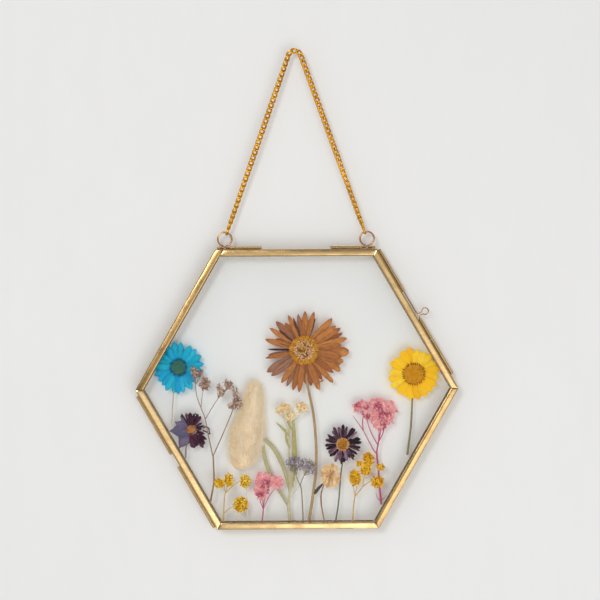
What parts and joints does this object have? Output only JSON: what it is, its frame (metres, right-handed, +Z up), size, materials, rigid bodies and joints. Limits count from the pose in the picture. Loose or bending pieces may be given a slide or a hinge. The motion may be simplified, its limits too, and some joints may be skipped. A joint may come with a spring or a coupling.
{
  "type": "pressed flower frame",
  "caption": "Hexagonal brass two-leaf glass frame holding dried flowers between its panes, hung by a chain; it swings, opens on a side hinge and is closed by a wire pin.",
  "frame": {"origin": "the point of the chain's arch that bears on whatever the frame hangs from, in the plane of the seam between the two leaves", "axes": "+Z up along the hanging line, -Y out of the front pane towards the viewer, +X to the viewer's right"},
  "size_m": [0.1798, 0.0082, 0.2682],
  "materials": {
    "brass": "satin",
    "gold_chain": "polished",
    "pane_glass": "gloss",
    "blue_daisy_head": "matte",
    "blue_daisy_stem": "matte",
    "brown_flower_head": "matte",
    "brown_flower_stem": "matte",
    "brown_sprig_left": "matte",
    "brown_sprig_right": "matte",
    "brown_sprig_stem": "matte",
    "bunny_tail_head": "matte",
    "bunny_tail_stem": "matte",
    "cream_sprig_leaf": "matte",
    "cream_sprig_stem": "matte",
    "dark_daisy_head": "matte",
    "dark_daisy_stem": "matte",
    "leaf_blade_lower": "matte",
    "leaf_blade_upper": "matte",
    "orange_sprig_stem": "matte",
    "peach_flower_head": "matte",
    "peach_flower_stem": "matte",
    "pink_sprig_small_stem": "matte",
    "pink_sprig_small_tuft": "matte",
    "pink_sprig_stem": "matte",
    "pink_sprig_tuft": "matte",
    "statice_cluster": "matte",
    "statice_stem": "matte",
    "violet_flower_head": "matte",
    "violet_flower_stem": "matte",
    "yellow_daisy_head": "matte",
    "yellow_daisy_stem": "matte",
    "yellow_sprig_stem": "matte"
  },
  "bodies": {
    "hanger": {"chain_left": "gold_chain", "chain_top": "gold_chain", "chain_right": "gold_chain", "hanging_eye_left": "brass", "hanging_eye_right": "brass"},
    "back_leaf": {"back_bar_bottom": "brass", "back_bar_lower_right": "brass", "back_bar_upper_right": "brass", "back_bar_top": "brass", "back_bar_upper_left": "brass", "back_bar_lower_left": "brass", "back_pane": "pane_glass", "hinge_barrel_1": "brass", "hinge_barrel_3": "brass", "hinge_pin_1": "brass", "hinge_pin_2": "brass", "clasp_guide": "brass", "clasp_keeper": "brass", "hanger_tube_left": "brass", "hanger_tube_right": "brass", "blue_daisy_head": "blue_daisy_head", "blue_daisy_stem": "blue_daisy_stem", "brown_flower_head": "brown_flower_head", "brown_flower_stem": "brown_flower_stem", "brown_sprig_left": "brown_sprig_left", "brown_sprig_right": "brown_sprig_right", "brown_sprig_stem": "brown_sprig_stem", "bunny_tail_head": "bunny_tail_head", "bunny_tail_stem": "bunny_tail_stem", "cream_sprig_leaf": "cream_sprig_leaf", "cream_sprig_stem": "cream_sprig_stem", "dark_daisy_head": "dark_daisy_head", "dark_daisy_stem": "dark_daisy_stem", "leaf_blade_lower": "leaf_blade_lower", "leaf_blade_upper": "leaf_blade_upper", "orange_sprig_stem": "orange_sprig_stem", "peach_flower_head": "peach_flower_head", "peach_flower_stem": "peach_flower_stem", "pink_sprig_small_stem": "pink_sprig_small_stem", "pink_sprig_small_tuft": "pink_sprig_small_tuft", "pink_sprig_stem": "pink_sprig_stem", "pink_sprig_tuft": "pink_sprig_tuft", "statice_cluster": "statice_cluster", "statice_stem": "statice_stem", "violet_flower_head": "violet_flower_head", "violet_flower_stem": "violet_flower_stem", "yellow_daisy_head": "yellow_daisy_head", "yellow_daisy_stem": "yellow_daisy_stem", "yellow_sprig_stem": "yellow_sprig_stem"},
    "front_leaf": {"front_bar_bottom": "brass", "front_bar_lower_right": "brass", "front_bar_upper_right": "brass", "front_bar_top": "brass", "front_bar_upper_left": "brass", "front_bar_lower_left": "brass", "front_pane": "pane_glass", "hinge_barrel_2": "brass", "hinge_barrel_4": "brass", "clasp_catch": "brass"},
    "clasp_pin": {"clasp_pin": "brass"}
  },
  "joints": [
    {"name": "frame_swing", "type": "hinge", "parent": "hanger", "child": "back_leaf", "pos_m": [0, 0, -0.10872], "axis": [1, 0, 0], "range_deg": [-70, 70]},
    {"name": "leaf_open", "type": "hinge", "parent": "back_leaf", "child": "front_leaf", "pos_m": [-0.06838, 0, -0.22708], "axis": [0.5, 0, -0.866], "range_deg": [0, 175]},
    {"name": "clasp_pull", "type": "slide", "parent": "back_leaf", "child": "clasp_pin", "axis": [-0.5, 0, 0.866], "range_m": [0, 0.012]}
  ]
}
